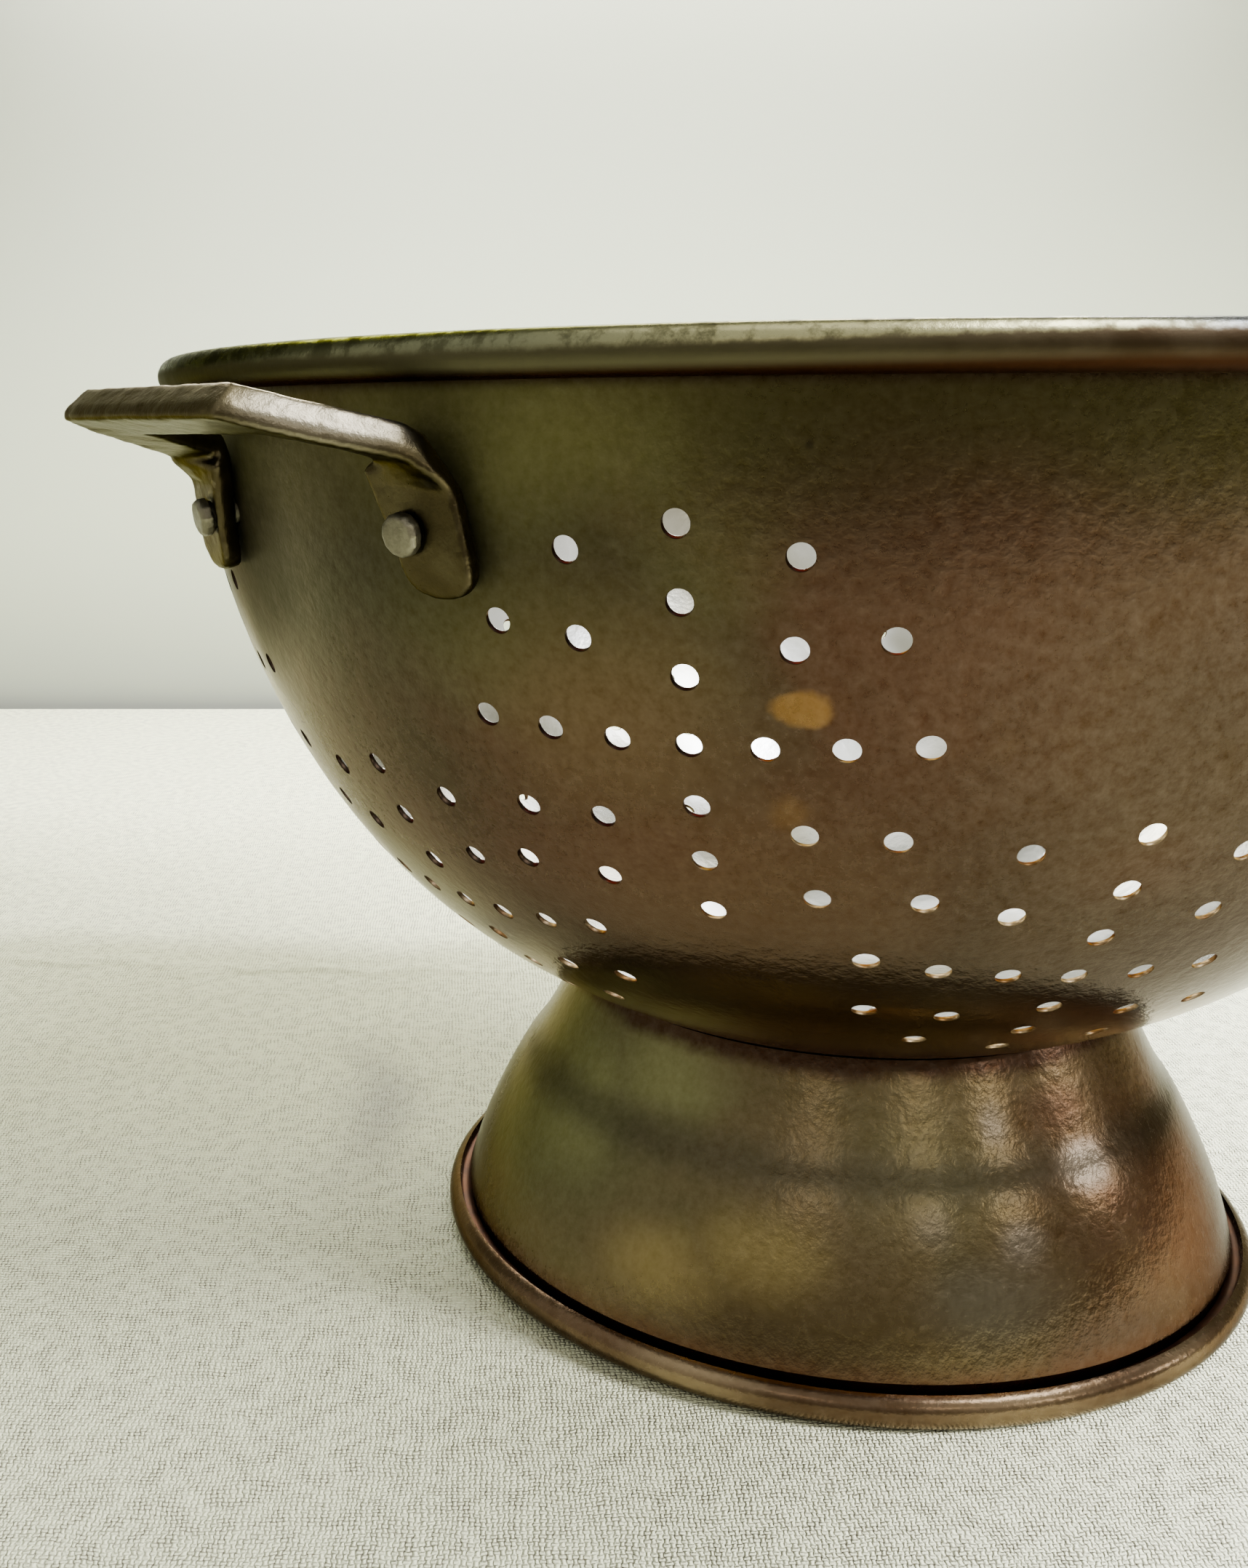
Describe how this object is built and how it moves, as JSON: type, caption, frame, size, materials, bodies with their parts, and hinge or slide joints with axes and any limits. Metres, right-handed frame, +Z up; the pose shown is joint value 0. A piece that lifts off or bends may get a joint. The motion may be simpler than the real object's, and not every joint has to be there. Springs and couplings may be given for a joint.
{
  "type": "colander",
  "caption": "Footed colander: round spun bowl with rosettes of drain holes, a wired rolled rim, a flared skirt foot with rolled edge, and riveted cast loop handles.",
  "frame": {"origin": "centre of the foot at table level, on the bowl's axis", "axes": "+Z up along the bowl's axis; the two loop handles lie on +X and -X"},
  "size_m": [0.291, 0.2538, 0.1639],
  "materials": {
    "bowl_copper": "dark tarnished copper, satin, tinned inside",
    "foot_copper": "tarnished copper, olive to pinkish brown, satin",
    "rim_wire": "plain drawn wire, hidden in the rim",
    "foot_wire": "dark reddish brown drawn wire",
    "solder": "dull soft solder",
    "handle_brass": "olive brown tarnished sand casting, silvery on its worn edges",
    "rivet": "greyish olive, hammered flat dome"
  },
  "bodies": {
    "root": {"bowl": "bowl_copper", "rim_wire": "rim_wire", "foot": "foot_copper", "foot_wire": "foot_wire", "foot_solder": "solder", "handle_left": "handle_brass", "handle_right": "handle_brass", "rivet_left_a": "rivet", "rivet_left_b": "rivet", "rivet_right_a": "rivet", "rivet_right_b": "rivet"}
  },
  "joints": []
}
